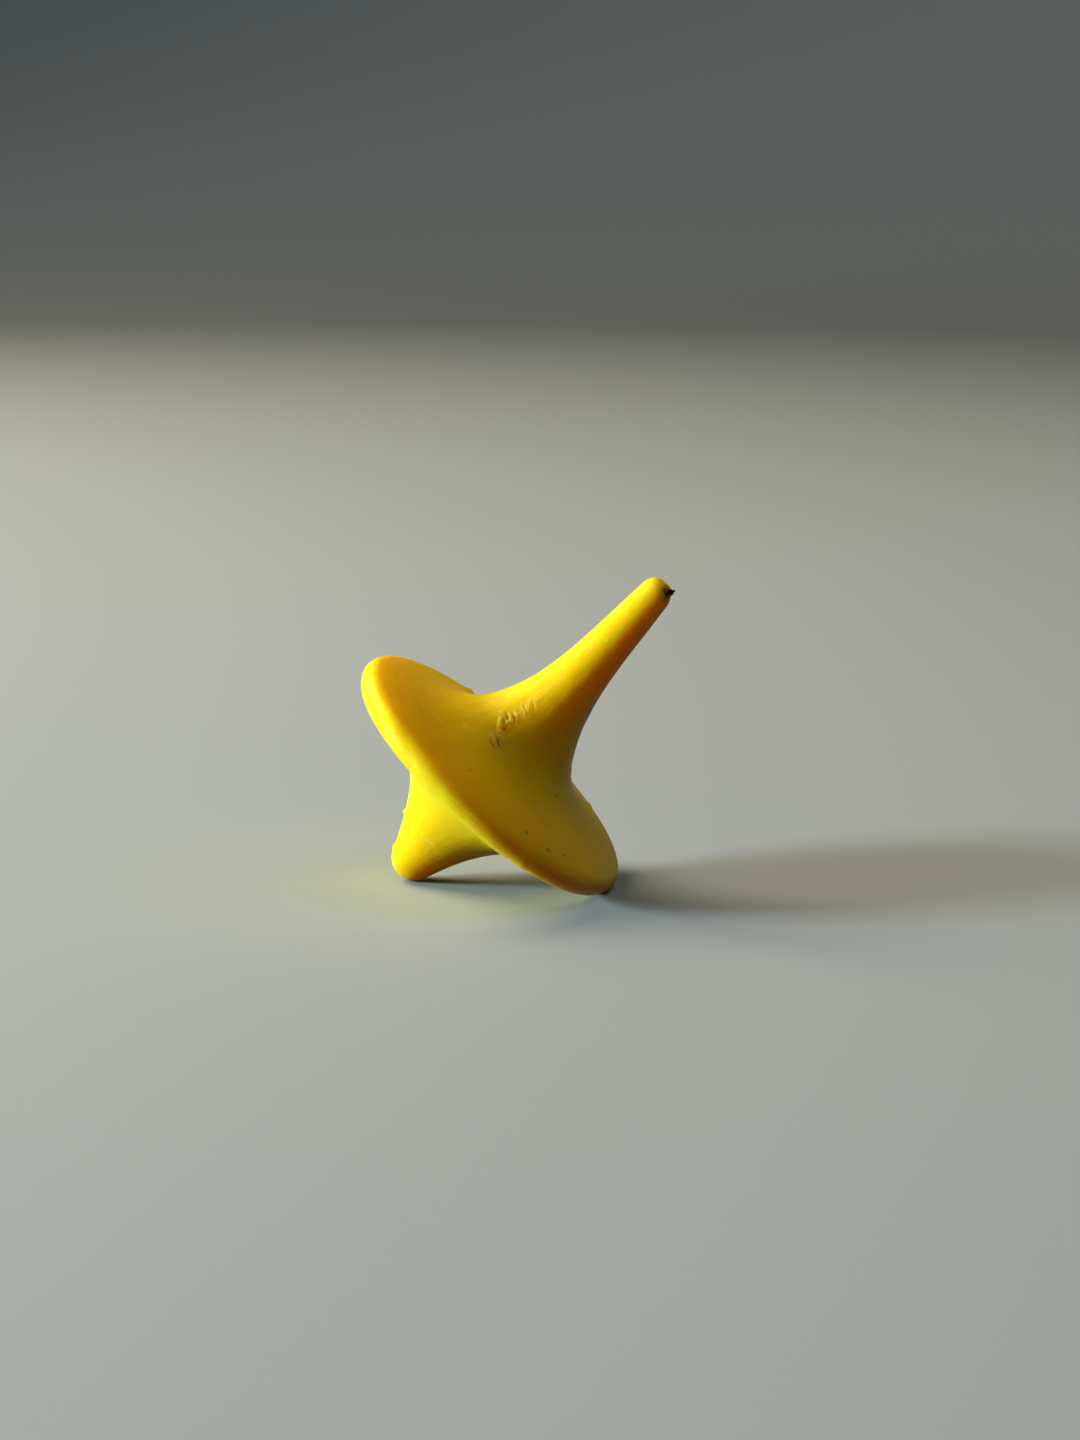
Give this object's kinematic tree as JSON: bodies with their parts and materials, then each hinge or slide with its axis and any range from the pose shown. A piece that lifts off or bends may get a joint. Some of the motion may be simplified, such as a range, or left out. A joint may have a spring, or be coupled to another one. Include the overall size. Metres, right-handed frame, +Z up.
{
  "type": "spinning top",
  "caption": "Small one-piece finger top with a rounded foot, a thin disc with a rounded rim and a long tapering stem, lying tipped over on its foot and rim.",
  "frame": {"origin": "middle of the bounding box at table height, with the top lying at rest on its foot and its rim", "axes": "+Z up from the table; the top's own axis lies in the XZ plane and rises towards +X at 49.0 degrees from foot to stem; +Y lies along the disc, away from the front view"},
  "size_m": [0.032, 0.034, 0.0327],
  "materials": {
    "yellow_plastic": "satin, as moulded, slightly translucent where it is thin",
    "dark_stub": "rough, torn and dirty"
  },
  "bodies": {
    "root": {"top_body": "yellow_plastic", "gate_stub": "dark_stub"}
  },
  "joints": []
}
